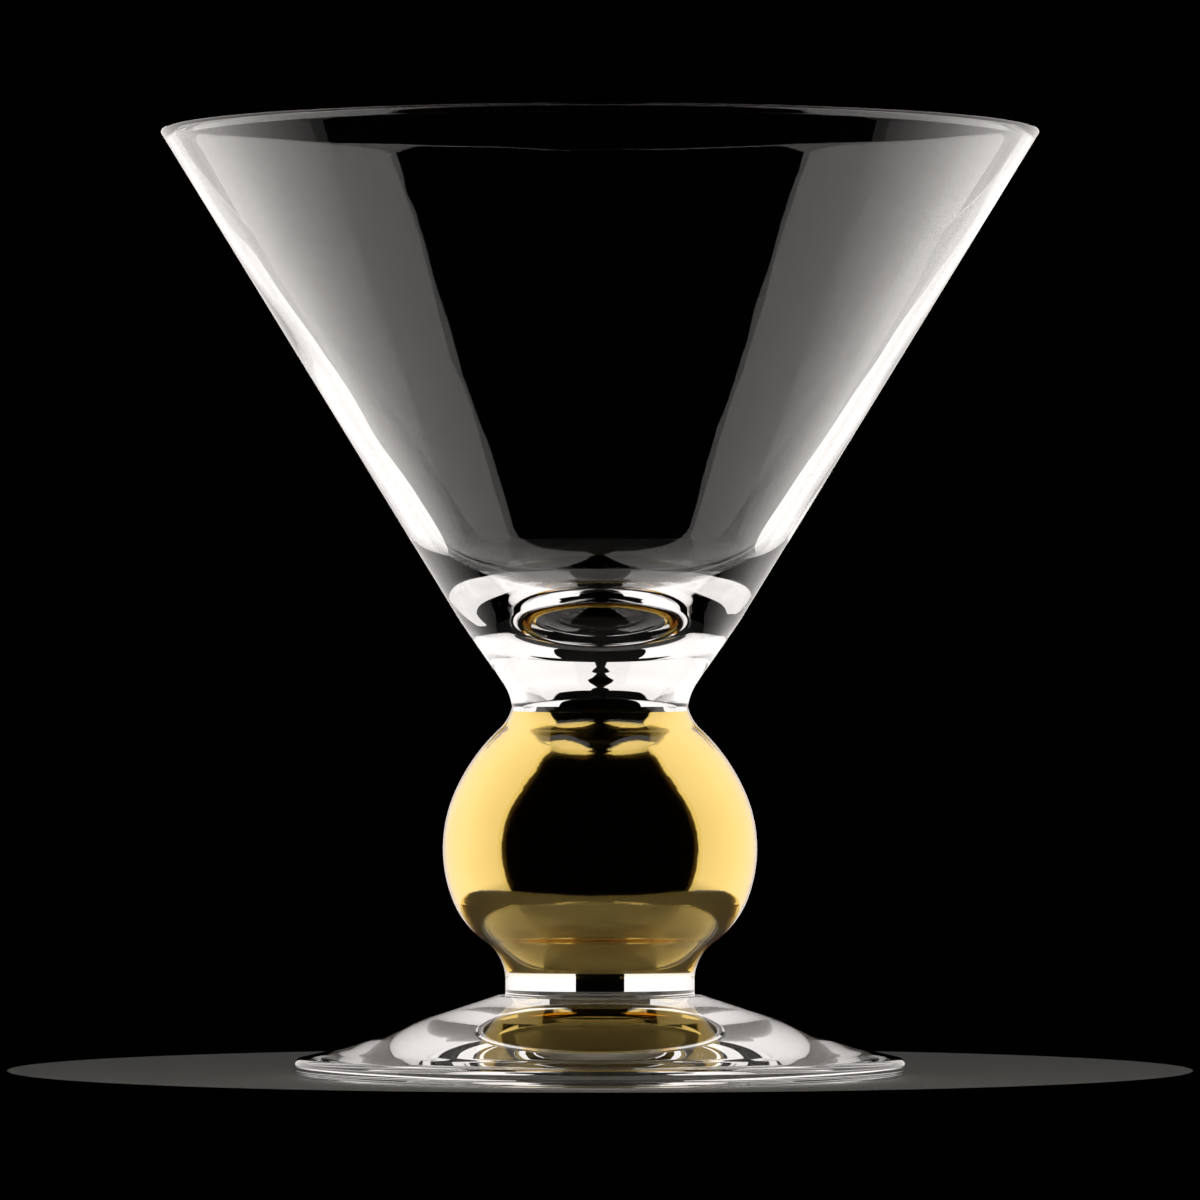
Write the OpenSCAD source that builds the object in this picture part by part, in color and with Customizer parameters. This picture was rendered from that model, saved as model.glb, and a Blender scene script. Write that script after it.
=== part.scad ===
// Martini glass: a conical bowl on a gilded hollow ball and a low conical foot.
// Z is up. The origin is the centre of the foot's resting face.
// Each piece of glass is drawn as half its section, in r and z, and turned about Z.

/* [Bowl] */
// Diameter over the lip
rim_d = 108.6; // [104:0.2:112]
// Height of the lip above the table
total_h = 117; // [114:0.5:120]
// Lean of the outer wall from upright, in degrees
wall_lean = 31.5; // [31:0.1:32]
// Extra lean of the inner wall, which thickens the glass towards the base
wall_taper = 1; // [0.6:0.1:1.2]
// Thickness of the glass at the lip
lip_t = 0.7; // [0.6:0.1:1]
// Radius of the round well at the bottom of the bowl
well_r = 26; // [24:0.5:28]
// Height at which the outer wall begins to lean in more, towards the collar
knee_z = 56.2; // [55.4:0.2:57]
// Lean of the outer wall below that height, in degrees
collar_lean = 35; // [34:0.2:36]
// Height of the seam between the bowl and the upper collar
bowl_seam_z = 52; // [51:0.5:53]

/* [Ball] */
// Diameter of the ball
ball_d = 38.9; // [38:0.1:39.6]
// Height of the ball's widest part above the table
ball_z = 28.2; // [28:0.1:28.4]
// Radius of the ball's side
side_r = 17.55; // [17:0.05:18]
// Radius of the flatter shoulder above the side
shoulder_r = 23.5; // [22.5:0.1:24.5]
// Radius of the tighter belly below the side
belly_r = 11.3; // [10.9:0.1:11.7]
// Thickness of the ball's wall
ball_wall = 1.35; // [1.2:0.05:1.6]
// Diameter of the neck above the ball, at its narrowest
top_neck_d = 21.5; // [21.2:0.1:21.8]
// Height of the crease between the ball and the upper collar
crease_z = 45.7; // [45.4:0.1:45.9]
// Diameter of the neck below the ball
low_neck_d = 23.4; // [22.8:0.1:24]
// Height of the seam between the ball and the lower collar
collar_z = 11.95; // [11.6:0.05:12.2]
// Height of the floor of the hollow above the table
hollow_floor_z = 13.1; // [12.9:0.1:13.5]
// Bare glass left above the gilding, at the mouth
bare_edge = 0.9; // [0.5:0.1:1.2]
// Thickness drawn for the gilding
gild_t = 0.1; // [0.08:0.01:0.2]

/* [Foot] */
// Diameter of the foot
foot_d = 75.4; // [70:0.2:80]
// Height of the foot at its centre
foot_h = 10.5; // [10.2:0.1:10.8]
// Slope of the foot's upper face, in degrees
foot_slope = 18.2; // [17.4:0.1:18.6]
// Thickness of the foot at its edge
foot_edge_h = 2.4; // [2:0.1:2.6]
// Width of the flat ring that the foot stands on
rest_ring_w = 6; // [4:0.5:9]
// Rise of the underside inside the resting ring
kick_h = 0.6; // [0.4:0.1:1]

/* [Hidden] */
$fn = 96;
clear_glass = [0.86, 0.92, 0.93, 0.45];
gold = [0.93, 0.72, 0.28];

// Angles above and below the ball's widest part at which its shoulder and belly begin
shoulder_a = 26;
belly_a = 23.5;
// Height at which the flare above the ball would stand upright
flare_z = 46.9;
// Fillets at the upper collar and the foot
waist_f = 6.5;
foot_fillet = 1;
foot_edge_r = 0.9;
// Neighbouring rounds cross by this much, or at this angle, so that each edge is a clean one
bite = 0.005;
kink_a = 1;

rim_r = rim_d / 2;
lip_r = lip_t / 2;
ball_r = ball_d / 2;
top_neck_r = top_neck_d / 2;
low_neck_r = low_neck_d / 2;
foot_r = foot_d / 2;
inner_lean = wall_lean + wall_taper;
far = 200;
lap = 0.5;

// Lip: a round edge that the outer and inner walls leave at a tangent
lip_c = [rim_r - lip_r, total_h - lip_r];
lip_out = lip_c + lip_r * [cos(wall_lean), -sin(wall_lean)];
lip_in = lip_c - lip_r * [cos(inner_lean), -sin(inner_lean)];
knee_r = lip_out[0] - (lip_out[1] - knee_z) * tan(wall_lean);

// Well: a sphere on the axis, tangent to the inner cone at well_t
well_c = lip_in[1] + (well_r - lip_in[0] * cos(inner_lean)) / sin(inner_lean);
well_t = [well_r * cos(inner_lean), well_c - well_r * sin(inner_lean)];

// Point at angle a on the round of radius r about c
function on(c, r, a) = c + r * [cos(a), sin(a)];
// Radius of the fillet that is upright at radius n and height z and touches the round of radius r about c
function fillet_r(c, r, n, z) = (pow(n - c[0], 2) + pow(z - c[1], 2) - r * r) / (2 * (r - n + c[0]));

// Ball: the rounds of its side, shoulder and belly, and the fillets that run out to its two necks
side_c = [ball_r - side_r, ball_z];
shoulder_c = on(side_c, side_r, shoulder_a) - on([0, 0], shoulder_r, shoulder_a - kink_a);
belly_c = on(side_c, side_r, -belly_a) - on([0, 0], belly_r, -belly_a - kink_a);
flare_r = fillet_r(shoulder_c, shoulder_r, top_neck_r, flare_z);
flare_c = [top_neck_r + flare_r, flare_z];
flare_a = atan2(flare_c[1] - shoulder_c[1], flare_c[0] - shoulder_c[0]);
low_r = fillet_r(belly_c, belly_r, low_neck_r, collar_z);
low_c = [low_neck_r + low_r, collar_z];
low_a = atan2(low_c[1] - belly_c[1], low_c[0] - belly_c[0]);
crease = [flare_c[0] - sqrt(pow(flare_r, 2) - pow(flare_z - crease_z, 2)), crease_z];

// Waist: a fillet from the crease to the leaning wall above it
seam = [knee_r - (knee_z - bowl_seam_z) * tan(collar_lean), bowl_seam_z];
wall_up = [sin(collar_lean), cos(collar_lean)];
wall_out = [cos(collar_lean), -sin(collar_lean)];
crease_off = (crease - seam) * wall_out;
waist_up = (crease - seam) * wall_up + sqrt(2 * crease_off * waist_f - pow(crease_off, 2));
waist_touch = seam + wall_up * waist_up;
waist_c = waist_touch + waist_f * wall_out;

// Half section of the ball's side, shoulder and belly, with a skin of thickness s taken off
module rounds(s) {
    intersection() {
        translate(side_c) circle(r = side_r - s);
        union() {
            translate(belly_c) circle(r = belly_r - s);
            translate([0, on(side_c, side_r - s, -belly_a)[1] + lap]) square([far, far]);
        }
    }
    intersection() {
        translate(shoulder_c) circle(r = shoulder_r - s);
        translate([0, on(side_c, side_r - s, shoulder_a)[1] - lap]) square([far, far]);
    }
}

// The fillet from the belly down to the lower neck
module low_end(s) {
    low_z = on(belly_c, belly_r - s, low_a)[1];
    translate([0, low_z - lap]) square([belly_c[0], belly_c[1] - low_z + lap]);
    difference() {
        translate([0, collar_z]) square([low_c[0], low_z - collar_z]);
        translate(low_c) circle(r = low_r + s + bite);
    }
}

// The flare from the shoulder up to the upper neck
module flare(s) {
    touch_z = on(shoulder_c, shoulder_r - s, flare_a)[1];
    difference() {
        translate([0, touch_z]) square([flare_c[0], flare_z - touch_z]);
        translate(flare_c) circle(r = flare_r + s + bite);
    }
}

module ball_section() {
    intersection() {
        union() {
            rounds(0);
            low_end(0);
            flare(0);
        }
        translate([0, collar_z]) square([far, crease_z - collar_z]);
    }
}

// Half section of the hollow, with a skin of thickness t taken off all round
module hollow_section(t) {
    intersection() {
        union() {
            rounds(ball_wall + t);
            low_end(ball_wall + t);
            flare(ball_wall + t);
        }
        translate([0, hollow_floor_z + t]) square([far, far]);
    }
}

module bowl_section() {
    difference() {
        union() {
            polygon([[0, knee_z], [knee_r, knee_z], lip_out, lip_c, lip_in, [0, lip_in[1]]]);
            polygon([[0, bowl_seam_z], seam, [knee_r, knee_z], [0, knee_z]]);
            translate(lip_c) circle(r = lip_r, $fn = 48);
        }
        // cone of the inside, open at the top
        polygon([[0, well_t[1]], well_t, lip_in, [lip_in[0], far], [0, far]]);
        // round well below it
        intersection() {
            translate([0, well_c]) circle(r = well_r);
            square([far, well_t[1]]);
        }
    }
}

module bowl() {
    color(clear_glass) rotate_extrude() bowl_section();
}

// Solid collar under the bowl, drawn in to the neck with a fillet
module upper_collar() {
    color(clear_glass) rotate_extrude() difference() {
        polygon([[0, crease_z], [waist_touch[0], crease_z], waist_touch, seam, [0, bowl_seam_z]]);
        translate(waist_c) circle(r = waist_f);
    }
}

// Hollow ball with a closed floor and an open mouth under the upper collar
module ball_shell() {
    color(clear_glass) rotate_extrude() difference() {
        ball_section();
        hollow_section(0);
    }
}

// Gilding on the inside of the hollow, stopping short of the mouth
module gold_lining() {
    color(gold) rotate_extrude() difference() {
        hollow_section(0);
        hollow_section(gild_t);
        translate([0, crease_z - bare_edge]) square([far, far]);
    }
}

module lower_collar() {
    color(clear_glass) translate([0, 0, foot_h]) cylinder(h = collar_z - foot_h, r = low_neck_r);
}

// Low cone with a rounded edge, standing on a flat ring under a shallow kick
module foot() {
    edge_in = foot_r - foot_edge_r;
    brow = [edge_in - 3, foot_edge_h + 3 * tan(foot_slope - 5)];
    crown = [low_neck_r + foot_fillet, brow[1] + (brow[0] - low_neck_r - foot_fillet) * tan(foot_slope)];
    kick_r = edge_in - rest_ring_w;
    kick_ball_r = (pow(kick_r, 2) + pow(kick_h, 2)) / (2 * kick_h);
    color(clear_glass) rotate_extrude() difference() {
        union() {
            polygon([[0, 0], [edge_in, 0], [edge_in, foot_edge_h], brow, crown,
                     [low_neck_r, foot_h], [0, foot_h]]);
            translate([edge_in, foot_edge_r]) circle(r = foot_edge_r, $fn = 36);
            translate([edge_in, foot_edge_h - foot_edge_r]) circle(r = foot_edge_r, $fn = 36);
            translate([edge_in, foot_edge_r]) square([foot_edge_r, foot_edge_h - 2 * foot_edge_r]);
        }
        translate([0, kick_h - kick_ball_r]) circle(r = kick_ball_r, $fn = 720);
    }
}

bowl();
upper_collar();
ball_shell();
gold_lining();
lower_collar();
foot();
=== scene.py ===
from math import radians, degrees, sin, cos, tan, asin, atan2, sqrt, pi
import bpy
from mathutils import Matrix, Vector


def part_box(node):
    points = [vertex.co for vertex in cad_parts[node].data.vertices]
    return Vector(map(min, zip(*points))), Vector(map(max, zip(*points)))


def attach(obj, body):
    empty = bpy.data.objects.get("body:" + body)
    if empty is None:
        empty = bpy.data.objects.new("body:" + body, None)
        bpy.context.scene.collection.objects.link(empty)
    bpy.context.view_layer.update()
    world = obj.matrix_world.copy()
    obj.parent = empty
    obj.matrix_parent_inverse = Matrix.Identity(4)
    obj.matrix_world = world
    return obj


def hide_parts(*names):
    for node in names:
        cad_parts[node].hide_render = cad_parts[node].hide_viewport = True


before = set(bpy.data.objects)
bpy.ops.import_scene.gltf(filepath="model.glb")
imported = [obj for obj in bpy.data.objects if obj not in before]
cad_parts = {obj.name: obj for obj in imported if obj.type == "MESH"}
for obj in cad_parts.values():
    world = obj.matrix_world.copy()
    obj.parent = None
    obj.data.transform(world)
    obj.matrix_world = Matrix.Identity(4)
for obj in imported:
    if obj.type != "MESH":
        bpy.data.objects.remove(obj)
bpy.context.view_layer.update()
mm = 0.001
close = 0.004  # millimetres under which two profile points are one
weldGap = 0.0000008  # metres
lay = bpy.context.view_layer
print("frame loaded:", sorted(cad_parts))


def nodeSize(name):
    # a CAD piece's foot, top and radius, in millimetres
    low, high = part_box(name)
    return low.z / mm, high.z / mm, (high.x - low.x) / 2 / mm


bowlLow, bowlTop, bowlR = nodeSize("bowl")
collarLow, collarTop = nodeSize("upper_collar")[:2]
ballLow, ballTop, ballR = nodeSize("ball_shell")
gildLow, gildTop = nodeSize("gold_lining")[:2]
neckLow, neckTop, neckR = nodeSize("lower_collar")
footLow, footTop, footR = nodeSize("foot")

camera = {"distance": 1.185, "height": 0.0446, "aimHeight": 0.0589, "lens": 287.6}
eye = Vector((0, -camera["distance"], camera["height"]))
bpy.ops.object.camera_add(location=eye)
shotCam = bpy.context.object
shotCam.name = "shotCamera"
shotCam.data.lens = camera["lens"]
shotCam.data.sensor_width = 36
shotCam.rotation_euler = (Vector((0, 0, camera["aimHeight"])) - eye).to_track_quat("-Z", "Y").to_euler()
bpy.context.scene.camera = shotCam

# A white tent lights the glass from both sides. It is open at the front, and a tall dark card stands behind. Angles
# are in degrees, turned from the front of the glass and up from level.
tent = {
    "segments": 144, "rings": 72, "radius": 1.0, "height": 0.06,
    "nearEdge": 80, "highEdge": 97, "bendFrom": 50, "bendTo": 66, "top": 86, "low": -37,
    "card": 161, "cardLow": 170, "cardBend": 12,
    "light": 1.2, "frontLight": 0.9, "frontY": -0.17, "backY": 0.57,
    "ground": 0.2, "groundZ": -0.6, "clearZ": -0.36,
    "colour": (1.0, 0.955, 0.93), "dusk": 0.0003,
}


def inTent(c):
    level = degrees(atan2(c.z, sqrt(c.x * c.x + c.y * c.y)))
    turn = abs(degrees(atan2(c.x, -c.y)))
    bend = min(1, max(0, (level - tent["bendFrom"]) / (tent["bendTo"] - tent["bendFrom"])))
    near = tent["nearEdge"] + (tent["highEdge"] - tent["nearEdge"]) * bend
    card = tent["card"] if level > tent["cardBend"] else tent["cardLow"]
    return tent["low"] < level < tent["top"] and near < turn < card


bpy.ops.object.select_all(action="DESELECT")
bpy.ops.mesh.primitive_uv_sphere_add(segments=tent["segments"], ring_count=tent["rings"], radius=tent["radius"])
lightTent = bpy.context.object
lightTent.name = "lightTent"
bpy.ops.object.mode_set(mode="EDIT")
bpy.ops.mesh.select_all(action="DESELECT")
bpy.ops.object.mode_set(mode="OBJECT")
for face in lightTent.data.polygons:
    face.select = not inTent(face.center)
bpy.ops.object.mode_set(mode="EDIT")
bpy.ops.mesh.delete(type="FACE")
bpy.ops.object.mode_set(mode="OBJECT")
lightTent.location.z = tent["height"]
lightTent.visible_camera = False
print("tent cut:", len(lightTent.data.polygons), "faces")

world = bpy.data.worlds.new("darkRoom")
bpy.context.scene.world = world
world.use_nodes = True
world.node_tree.nodes["Background"].inputs["Color"].default_value = (tent["dusk"],) * 3 + (1,)
bpy.context.scene.view_settings.view_transform = "Standard"


def arc(centre, radius, start, end, count):
    # points on a round from one angle to another, in degrees
    return [(centre[0] + radius * cos(radians(start + (end - start) * i / count)),
             centre[1] + radius * sin(radians(start + (end - start) * i / count))) for i in range(count + 1)]


def line(a, b, count):
    return [(a[0] + (b[0] - a[0]) * i / count, a[1] + (b[1] - a[1]) * i / count) for i in range(count + 1)]


def joined(*runs):
    # runs end to end, each point once
    points = []
    for run in runs:
        for p in run:
            if not points or abs(p[0] - points[-1][0]) + abs(p[1] - points[-1][1]) > close:
                points.append(p)
    return points


def cutRun(run, low, high):
    # the part of a falling run between two heights, cut cleanly at both
    out = []
    for (r0, z0), (r1, z1) in zip(run, run[1:]):
        if z0 > high > z1:
            out.append((r0 + (r1 - r0) * (high - z0) / (z1 - z0), high))
        elif not out and z0 <= high:
            out.append((r0, z0))
        if z0 > low > z1:
            out.append((r0 + (r1 - r0) * (low - z0) / (z1 - z0), low))
        elif low <= z1 <= high:
            out.append((r1, z1))
    return out


def turned(name, profile, steps):
    # one vertex drawn along the profile, then spun round the axis
    bpy.ops.object.select_all(action="DESELECT")
    bpy.ops.mesh.primitive_plane_add(size=mm)
    piece = bpy.context.object
    piece.name = name
    bpy.ops.object.mode_set(mode="EDIT")
    bpy.ops.mesh.select_all(action="SELECT")
    bpy.ops.mesh.merge(type="CENTER")
    at = Vector((profile[0][0] * mm, 0, profile[0][1] * mm))
    bpy.ops.transform.translate(value=at)
    for r, z in profile[1:]:
        to = Vector((r * mm, 0, z * mm))
        bpy.ops.mesh.extrude_vertices_move(TRANSFORM_OT_translate={"value": to - at})
        at = to
    bpy.ops.mesh.select_all(action="SELECT")
    bpy.ops.mesh.spin(steps=steps, angle=2 * pi, center=(0, 0, 0), axis=(0, 0, 1))
    bpy.ops.mesh.select_all(action="SELECT")
    bpy.ops.mesh.remove_doubles(threshold=weldGap)
    bpy.ops.mesh.normals_make_consistent(inside=False)
    bpy.ops.mesh.select_all(action="DESELECT")
    bpy.ops.object.mode_set(mode="OBJECT")
    return piece


def rippled(piece, name, size, depth, weightAt):
    # hand-blown unevenness: weightAt says how much of it each vertex takes, size and depth are in millimetres
    group = piece.vertex_groups.new(name=name)
    for v in piece.data.vertices:
        w = weightAt(v.co / mm, v.normal)
        if w > 0.001:
            group.add([v.index], min(1, w), "REPLACE")
    swell = bpy.data.textures.new(name, "CLOUDS")
    swell.noise_scale = size * mm
    swell.noise_depth = 1
    push = piece.modifiers.new(name, "DISPLACE")
    push.texture = swell
    push.texture_coords = "LOCAL"
    push.strength = depth * mm
    push.mid_level = 0.5
    push.vertex_group = name
    bpy.ops.object.select_all(action="DESELECT")
    piece.select_set(True)
    lay.objects.active = piece
    bpy.ops.object.modifier_apply(modifier=push.name)


def finished(piece, material, fused=None, isFused=None, smooth=30):
    # the glass or metal first, then the plain joint on faces where two pieces melt together
    piece.data.materials.append(material)
    if fused:
        piece.data.materials.append(fused)
        for f in piece.data.polygons:
            if isFused(f):
                f.material_index = 1
    bpy.ops.object.select_all(action="DESELECT")
    piece.select_set(True)
    lay.objects.active = piece
    bpy.ops.object.shade_smooth_by_angle(angle=radians(smooth))
    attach(piece, "root")


def levelAt(height, inner=0, outer=1000):
    # picks flat faces at a height, between two radii
    def pick(f):
        c = f.center / mm
        r = sqrt(c.x * c.x + c.y * c.y)
        return abs(c.z - height) < 0.01 and abs(f.normal.z) > 0.9 and inner < r < outer
    return pick


def newGroup(name, inputs, outputs):
    group = bpy.data.node_groups.new(name, "ShaderNodeTree")
    for label, kind, value in inputs:
        socket = group.interface.new_socket(name=label, in_out="INPUT", socket_type=kind)
        if value is not None:
            socket.default_value = value
    for label, kind in outputs:
        group.interface.new_socket(name=label, in_out="OUTPUT", socket_type=kind)
    start = group.nodes.new("NodeGroupInput")
    end = group.nodes.new("NodeGroupOutput")
    start.location, end.location = (-900, 0), (700, 0)
    return group, start, end


def maths(tree, kind, a, b, place):
    # a maths node whose inputs are sockets or numbers
    n = tree.nodes.new("ShaderNodeMath")
    n.operation = kind
    n.location = place
    for i, x in enumerate((a, b)):
        if isinstance(x, (int, float)):
            n.inputs[i].default_value = x
        elif x is not None:
            tree.links.new(x, n.inputs[i])
    return n.outputs[0]


def noiseOf(tree, vector, scale, detail, place):
    n = tree.nodes.new("ShaderNodeTexNoise")
    n.location = place
    n.inputs["Detail"].default_value = detail
    tree.links.new(vector, n.inputs["Vector"])
    if isinstance(scale, (int, float)):
        n.inputs["Scale"].default_value = scale
    else:
        tree.links.new(scale, n.inputs["Scale"])
    return n.outputs["Fac"]


def newMaterial(name):
    m = bpy.data.materials.new(name)
    m.use_nodes = True
    return m, m.node_tree, m.node_tree.nodes["Principled BSDF"]


def objectPlace(tree, place):
    n = tree.nodes.new("ShaderNodeTexCoord")
    n.location = place
    return n.outputs["Object"]


def mixed(tree, factor, a, b, place):
    # two colours mixed by a socket
    n = tree.nodes.new("ShaderNodeMix")
    n.data_type = "RGBA"
    n.location = place
    n.inputs["A"].default_value = a
    n.inputs["B"].default_value = b
    tree.links.new(factor, n.inputs["Factor"])
    return n.outputs["Result"]


def bumped(tree, height, distance, place):
    n = tree.nodes.new("ShaderNodeBump")
    n.location = place
    n.inputs["Distance"].default_value = distance
    tree.links.new(height, n.inputs["Height"])
    return n.outputs["Normal"]


def ramped(tree, value, start, end, low, high, place):
    # a straight ramp from low to high between two values
    n = tree.nodes.new("ShaderNodeMapRange")
    n.location = place
    for label, x in (("From Min", start), ("From Max", end), ("To Min", low), ("To Max", high)):
        n.inputs[label].default_value = x
    tree.links.new(value, n.inputs["Value"])
    return n.outputs["Result"]


# Hot-worked skin: broad swells and finer ripples that run round the piece, as a height in millimetres, the faint
# wipe marks that are left on washed glass, as a roughness, and a slight tint.
skinLook = {
    "clear": (1.0, 1.0, 1.0, 1), "green": (0.985, 0.995, 0.99, 1), "squeeze": (0.3, 0.3, 1),
    "smearScale": 55, "smearFrom": 0.52, "smearGain": 4,
}
hotSkin, skinIn, skinOut = newGroup("hotWorkedSkin", [
    ("Coordinates", "NodeSocketVector", None),
    ("Swells per metre", "NodeSocketFloat", 70),
    ("Swell height", "NodeSocketFloat", 0.02),
    ("Ripples per metre", "NodeSocketFloat", 400),
    ("Ripple height", "NodeSocketFloat", 0.002),
    ("Wipe marks", "NodeSocketFloat", 0.02),
], [("Height", "NodeSocketFloat"), ("Roughness", "NodeSocketFloat"), ("Tint", "NodeSocketColor")])
swells = noiseOf(hotSkin, skinIn.outputs["Coordinates"], skinIn.outputs["Swells per metre"], 1, (-650, 200))
squeeze = hotSkin.nodes.new("ShaderNodeMapping")
squeeze.location = (-750, -60)
squeeze.inputs["Scale"].default_value = skinLook["squeeze"]
hotSkin.links.new(skinIn.outputs["Coordinates"], squeeze.inputs["Vector"])
ripples = noiseOf(hotSkin, squeeze.outputs["Vector"], skinIn.outputs["Ripples per metre"], 2, (-550, -60))
broad = maths(hotSkin, "MULTIPLY", swells, skinIn.outputs["Swell height"], (-350, 200))
fine = maths(hotSkin, "MULTIPLY", ripples, skinIn.outputs["Ripple height"], (-350, -60))
hotSkin.links.new(maths(hotSkin, "ADD", broad, fine, (-150, 100)), skinOut.inputs["Height"])
smears = noiseOf(hotSkin, squeeze.outputs["Vector"], skinLook["smearScale"], 4, (-550, -300))
patchy = maths(hotSkin, "SUBTRACT", smears, skinLook["smearFrom"], (-350, -300))
patchy = maths(hotSkin, "MULTIPLY", patchy, skinLook["smearGain"], (-200, -300))
patchy = maths(hotSkin, "MAXIMUM", patchy, 0, (-50, -300))
wiped = maths(hotSkin, "MULTIPLY", patchy, skinIn.outputs["Wipe marks"], (150, -300))
hotSkin.links.new(wiped, skinOut.inputs["Roughness"])
tinted = mixed(hotSkin, smears, skinLook["clear"], skinLook["green"], (150, -550))
hotSkin.links.new(tinted, skinOut.inputs["Tint"])


def glassMaterial(name, values):
    m, tree, b = newMaterial(name)
    b.inputs["IOR"].default_value = values["ior"]
    b.inputs["Transmission Weight"].default_value = 1
    skin = tree.nodes.new("ShaderNodeGroup")
    skin.node_tree = hotSkin
    skin.location = (-500, 100)
    for label, key in (("Swells per metre", "swells"), ("Swell height", "swellHeight"), ("Wipe marks", "wipe"),
                       ("Ripples per metre", "ripples"), ("Ripple height", "rippleHeight")):
        skin.inputs[label].default_value = values[key]
    tree.links.new(objectPlace(tree, (-750, 100)), skin.inputs["Coordinates"])
    tree.links.new(bumped(tree, skin.outputs["Height"], mm, (-250, -150)), b.inputs["Normal"])
    tree.links.new(skin.outputs["Roughness"], b.inputs["Roughness"])
    tree.links.new(skin.outputs["Tint"], b.inputs["Base Color"])
    return m


bowlGlassLook = glassMaterial("bowlGlass", {
    "ior": 1.52, "swells": 60, "swellHeight": 0.02, "ripples": 300, "rippleHeight": 0.001, "wipe": 0.01})
stemGlassLook = glassMaterial("stemGlass", {
    "ior": 1.52, "swells": 120, "swellHeight": 0.01, "ripples": 500, "rippleHeight": 0.001, "wipe": 0.01})
footGlassLook = glassMaterial("footGlass", {
    "ior": 1.52, "swells": 90, "swellHeight": 0.01, "ripples": 300, "rippleHeight": 0.001, "wipe": 0.01})

# where two pieces melt together nothing shows
meltedJoint, tree, j = newMaterial("meltedJoint")
j.inputs["Alpha"].default_value = 0

goldLook = {
    "deep": (0.92, 0.63, 0.14, 1), "pale": (0.97, 0.73, 0.23, 1), "rough": 0.02, "roughMore": 0.05,
    "clouds": 90, "grains": 600, "grainHeight": 0.000005,
}
goldLeaf, tree, g = newMaterial("goldLeaf")
g.inputs["Metallic"].default_value = 1
place = objectPlace(tree, (-900, 100))
cloudy = noiseOf(tree, place, goldLook["clouds"], 3, (-700, 150))
tree.links.new(mixed(tree, cloudy, goldLook["deep"], goldLook["pale"], (-300, 200)), g.inputs["Base Color"])
grain = noiseOf(tree, place, goldLook["grains"], 4, (-700, -100))
worn = maths(tree, "MULTIPLY", grain, goldLook["roughMore"], (-500, -100))
tree.links.new(maths(tree, "ADD", worn, goldLook["rough"], (-300, -100)), g.inputs["Roughness"])
tree.links.new(bumped(tree, grain, goldLook["grainHeight"], (-300, -300)), g.inputs["Normal"])

# the back of the gilding, seen down through the bowl, is dull and dark
backLook = {
    "brown": (0.06, 0.03, 0.012, 1), "olive": (0.09, 0.06, 0.02, 1), "metal": 0.5, "rough": 0.35, "clouds": 200,
}
goldBack, tree, g = newMaterial("goldBack")
g.inputs["Metallic"].default_value = backLook["metal"]
g.inputs["Roughness"].default_value = backLook["rough"]
cloudy = noiseOf(tree, objectPlace(tree, (-900, 100)), backLook["clouds"], 3, (-700, 150))
tree.links.new(mixed(tree, cloudy, backLook["brown"], backLook["olive"], (-300, 200)), g.inputs["Base Color"])

# the tent glows a little less towards the front, and much less near the ground
tentGlow, tree, g = newMaterial("tentGlow")
g.inputs["Base Color"].default_value = (0, 0, 0, 1)
g.inputs["Specular IOR Level"].default_value = 0
g.inputs["Emission Color"].default_value = tent["colour"] + (1,)
apart = tree.nodes.new("ShaderNodeSeparateXYZ")
apart.location = (-700, 100)
tree.links.new(objectPlace(tree, (-900, 100)), apart.inputs[0])
front = ramped(tree, apart.outputs["Y"], tent["frontY"], tent["backY"],
               tent["frontLight"], tent["light"], (-500, 200))
ground = ramped(tree, apart.outputs["Z"], tent["groundZ"], tent["clearZ"], tent["ground"], 1, (-500, -100))
tree.links.new(maths(tree, "MULTIPLY", front, ground, (-300, 100)), g.inputs["Emission Strength"])
lightTent.data.materials.append(tentGlow)
print("materials mixed")

bowl = {
    "steps": 256, "lean": 31.5, "taper": 1.0, "lip": 0.7, "well": 26.0, "knee": 56.2, "collarLean": 35.0,
    "swellSize": 20, "swellDepth": 0.12, "calmRim": 1, "calmFade": 8, "calmFacing": 0.3,
}
innerLean = bowl["lean"] + bowl["taper"]
lipR = bowl["lip"] / 2
lipAt = (bowlR - lipR, bowlTop - lipR)
lipOut = (lipAt[0] + lipR * cos(radians(bowl["lean"])), lipAt[1] - lipR * sin(radians(bowl["lean"])))
lipIn = (lipAt[0] - lipR * cos(radians(innerLean)), lipAt[1] + lipR * sin(radians(innerLean)))
kneeR = lipOut[0] - (lipOut[1] - bowl["knee"]) * tan(radians(bowl["lean"]))
seamR = kneeR - (bowl["knee"] - bowlLow) * tan(radians(bowl["collarLean"]))
wellAt = lipIn[1] + (bowl["well"] - lipIn[0] * cos(radians(innerLean))) / sin(radians(innerLean))
wellTop = (bowl["well"] * cos(radians(innerLean)), wellAt - bowl["well"] * sin(radians(innerLean)))

bowlProfile = joined(
    line((0, bowlLow), (seamR, bowlLow), 6),
    line((seamR, bowlLow), (kneeR, bowl["knee"]), 8),
    line((kneeR, bowl["knee"]), lipOut, 70),
    arc(lipAt, lipR, -bowl["lean"], 180 - innerLean, 10),
    line(lipIn, wellTop, 50),
    arc((0, wellAt), bowl["well"], -innerLean, -90, 36),
)
bowlGlass = turned("bowl_glass", bowlProfile, bowl["steps"])
rippled(bowlGlass, "bowlSwell", bowl["swellSize"], bowl["swellDepth"],
        lambda at, n: 0 if n.z < bowl["calmFacing"] else (bowlTop - bowl["calmRim"] - at.z) / bowl["calmFade"])
finished(bowlGlass, bowlGlassLook, meltedJoint, levelAt(bowlLow))
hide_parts("bowl")
print("bowl turned:", len(bowlGlass.data.polygons), "faces")

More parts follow.
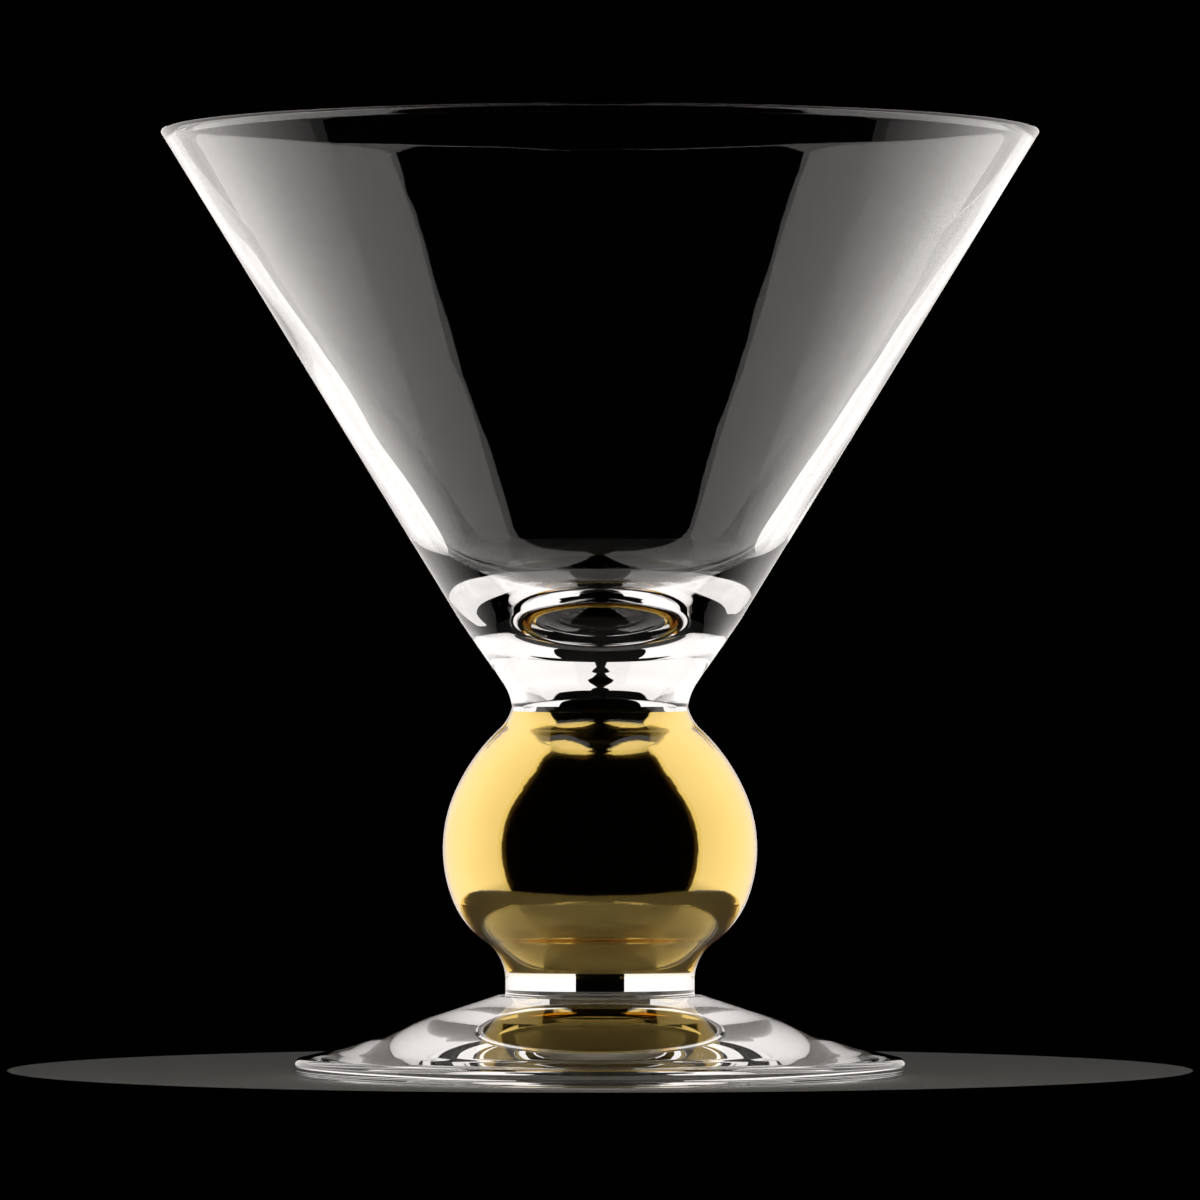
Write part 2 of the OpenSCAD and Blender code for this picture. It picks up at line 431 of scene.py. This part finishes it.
ball = {
    "steps": 256, "centre": 28.2, "side": 17.55, "shoulder": 23.5, "shoulderAngle": 26.0, "belly": 11.3,
    "bellyAngle": 23.5, "kink": 1.0, "topNeck": 10.75, "flareAt": 46.9, "wall": 1.35, "hollowFloor": 13.1,
}


def on(centre, radius, angle):
    return (centre[0] + radius * cos(radians(angle)), centre[1] + radius * sin(radians(angle)))


def filletR(centre, radius, neck, height):
    # the fillet that is upright at a neck and touches a round
    away = neck - centre[0]
    return (away ** 2 + (height - centre[1]) ** 2 - radius ** 2) / (2 * (radius - away))


sideAt = (ballR - ball["side"], ball["centre"])
shoulderFoot = on(sideAt, ball["side"], ball["shoulderAngle"])
shoulderAt = on(shoulderFoot, -ball["shoulder"], ball["shoulderAngle"] - ball["kink"])
bellyTop = on(sideAt, ball["side"], -ball["bellyAngle"])
bellyAt = on(bellyTop, -ball["belly"], -ball["bellyAngle"] - ball["kink"])
flareR = filletR(shoulderAt, ball["shoulder"], ball["topNeck"], ball["flareAt"])
flareAt = (ball["topNeck"] + flareR, ball["flareAt"])
flareA = degrees(atan2(flareAt[1] - shoulderAt[1], flareAt[0] - shoulderAt[0]))
lowR = filletR(bellyAt, ball["belly"], neckR, ballLow)
lowAt = (neckR + lowR, ballLow)
lowA = degrees(atan2(lowAt[1] - bellyAt[1], lowAt[0] - bellyAt[0]))


def ballRun(skin):
    # the ball's outline falling from its top neck to its low neck, with a skin taken off
    return joined(
        arc(flareAt, flareR + skin, 180, 180 + flareA, 16),
        arc(shoulderAt, ball["shoulder"] - skin, flareA, ball["shoulderAngle"], 26),
        arc(sideAt, ball["side"] - skin, ball["shoulderAngle"], -ball["bellyAngle"], 54),
        arc(bellyAt, ball["belly"] - skin, -ball["bellyAngle"] - ball["kink"], lowA, 24),
        arc(lowAt, lowR + skin, 180 + lowA, 180, 18),
    )


outside = cutRun(ballRun(0), ballLow, ballTop)
inside = cutRun(ballRun(ball["wall"]), ball["hollowFloor"], ballTop)
ballProfile = joined(
    line((0, ball["hollowFloor"]), inside[-1], 6),
    inside[::-1],
    line(inside[0], outside[0], 4),
    outside,
    line((neckR, ballLow), (0, ballLow), 6),
)
ballGlass = turned("ball_glass", ballProfile, ball["steps"])
ends = [levelAt(ballTop), levelAt(ballLow)]
finished(ballGlass, stemGlassLook, meltedJoint, lambda f: any(pick(f) for pick in ends))
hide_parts("ball_shell")
print("ball turned:", len(ballGlass.data.polygons), "faces")

# gilding: its outer face sits a hair inside the ball's glass, so that no gap shows
gild = {"bite": 0.03, "thick": 0.1, "floorSlack": 0.01, "steps": 256}
gildOut = cutRun(ballRun(ball["wall"] - gild["bite"]), gildLow - gild["bite"], gildTop)
gildIn = cutRun(ballRun(ball["wall"] + gild["thick"]), gildLow + gild["thick"], gildTop)
gildProfile = joined(
    line((0, gildLow - gild["bite"]), gildOut[-1], 6),
    gildOut[::-1],
    gildIn,
    line(gildIn[-1], (0, gildLow + gild["thick"]), 6),
)
gilding = turned("gilding", gildProfile, gild["steps"])
gildFloor = (gildLow + gild["thick"] + gild["floorSlack"]) * mm


def isGildBack(f):
    # faces that look in at the axis, and the floor
    inward = f.normal.x * f.center.x + f.normal.y * f.center.y < -1e-9
    return inward or (f.center.z < gildFloor and f.normal.z > 0.5)


finished(gilding, goldLeaf, goldBack, isGildBack)
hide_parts("gold_lining")

# the waist: a fillet from the crease to the leaning wall
waist = {"fillet": 6.5, "steps": 256}
leanA = radians(bowl["collarLean"])
offR, offZ = outside[0][0] - seamR, collarLow - collarTop
creaseOff = offR * cos(leanA) - offZ * sin(leanA)
creaseUp = offR * sin(leanA) + offZ * cos(leanA) + sqrt(2 * creaseOff * waist["fillet"] - creaseOff ** 2)
waistTouch = (seamR + sin(leanA) * creaseUp, collarTop + cos(leanA) * creaseUp)
waistAt = (waistTouch[0] + waist["fillet"] * cos(leanA), waistTouch[1] - waist["fillet"] * sin(leanA))
creaseA = degrees(asin((collarLow - waistAt[1]) / waist["fillet"]))
upperCollar = turned("upper_collar_glass", joined(
    line((0, collarLow), (inside[0][0], collarLow), 8),
    line((inside[0][0], collarLow), outside[0], 3),
    arc(waistAt, waist["fillet"], 180 - creaseA, 180 - bowl["collarLean"], 12),
    line(waistTouch, (seamR, collarTop), 8),
    line((seamR, collarTop), (0, collarTop), 6)), waist["steps"])
collarEnds = [levelAt(collarTop), levelAt(collarLow, inner=inside[0][0])]
finished(upperCollar, stemGlassLook, meltedJoint, lambda f: any(pick(f) for pick in collarEnds))
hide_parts("upper_collar")

neck = {"steps": 256}
lowerCollar = turned("lower_collar_glass", joined(
    line((0, neckLow), (neckR, neckLow), 6), line((neckR, neckLow), (neckR, neckTop), 4),
    line((neckR, neckTop), (0, neckTop), 6)), neck["steps"])
neckEnds = [levelAt(neckLow), levelAt(neckTop)]
finished(lowerCollar, stemGlassLook, meltedJoint, lambda f: any(pick(f) for pick in neckEnds))
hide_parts("lower_collar")
print("gilding and collars turned")

foot = {
    "steps": 256, "slope": 18.2, "edge": 2.4, "edgeRound": 0.9, "fillet": 1.0, "restRing": 6.0, "kick": 0.6,
    "brow": 3, "browEase": 5,
}
edgeIn = footR - foot["edgeRound"]
brow = (edgeIn - foot["brow"], foot["edge"] + foot["brow"] * tan(radians(foot["slope"] - foot["browEase"])))
crownR = neckR + foot["fillet"]
crown = (crownR, brow[1] + (brow[0] - crownR) * tan(radians(foot["slope"])))
kickR = edgeIn - foot["restRing"]
kickBall = (kickR ** 2 + foot["kick"] ** 2) / (2 * foot["kick"])
kickAngle = degrees(asin(kickR / kickBall))
footProfile = joined(
    line((0, footTop), (neckR, footTop), 6),
    arc((crownR, footTop), foot["fillet"], 180, 270 - foot["slope"] / 2, 8),
    line(crown, brow, 40),
    line(brow, (edgeIn, foot["edge"]), 6),
    arc((edgeIn, foot["edge"] - foot["edgeRound"]), foot["edgeRound"], 90, 0, 10),
    arc((edgeIn, foot["edgeRound"]), foot["edgeRound"], 0, -90, 10),
    line((edgeIn, 0), (kickR, 0), 8),
    arc((0, foot["kick"] - kickBall), kickBall, 90 - kickAngle, 90, 40),
)
footGlass = turned("foot_glass", footProfile, foot["steps"])
finished(footGlass, footGlassLook, meltedJoint, levelAt(footTop, outer=neckR))
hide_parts("foot")
print("foot turned:", len(footGlass.data.polygons), "faces")

floorPlan = {
    "radius": 0.075, "below": 0.2, "back": 0.03, "pale": (0.80, 0.79, 0.77, 1), "shade": (0.76, 0.75, 0.73, 1),
    "rough": 0.8, "mottle": 40, "lampHeight": 0.6, "lampSize": 0.8, "lampPower": 0.35,
}
floorPaint, tree, p = newMaterial("floorPaint")
mottle = noiseOf(tree, objectPlace(tree, (-900, 100)), floorPlan["mottle"], 3, (-700, 150))
tree.links.new(mixed(tree, mottle, floorPlan["pale"], floorPlan["shade"], (-300, 200)), p.inputs["Base Color"])
p.inputs["Roughness"].default_value = floorPlan["rough"]
bpy.ops.object.select_all(action="DESELECT")
bpy.ops.mesh.primitive_circle_add(vertices=96, radius=floorPlan["radius"], fill_type="NGON",
                                  location=(0, floorPlan["back"], (footLow - floorPlan["below"]) * mm))
floor = bpy.context.object
floor.name = "floor"
floor.data.materials.append(floorPaint)

# the tent lights the glass only, and a dim soft light from above lights the floor only
tentSkips = bpy.data.collections.new("tentSkips")
tentSkips.objects.link(floor)
lightTent.light_linking.receiver_collection = tentSkips
tentSkips.collection_objects[0].light_linking.link_state = "EXCLUDE"
bpy.ops.object.light_add(type="AREA", location=(0, 0, floorPlan["lampHeight"]))
floorLight = bpy.context.object
floorLight.name = "floorLight"
floorLight.data.size = floorPlan["lampSize"]
floorLight.data.energy = floorPlan["lampPower"]
floorLight.visible_camera = False
floorLit = bpy.data.collections.new("floorLit")
floorLit.objects.link(floor)
floorLight.light_linking.receiver_collection = floorLit
print("floor laid and lit")

cycles = bpy.context.scene.cycles
cycles.max_bounces = 32
cycles.transmission_bounces = 32
cycles.glossy_bounces = 12
cycles.use_denoising = True
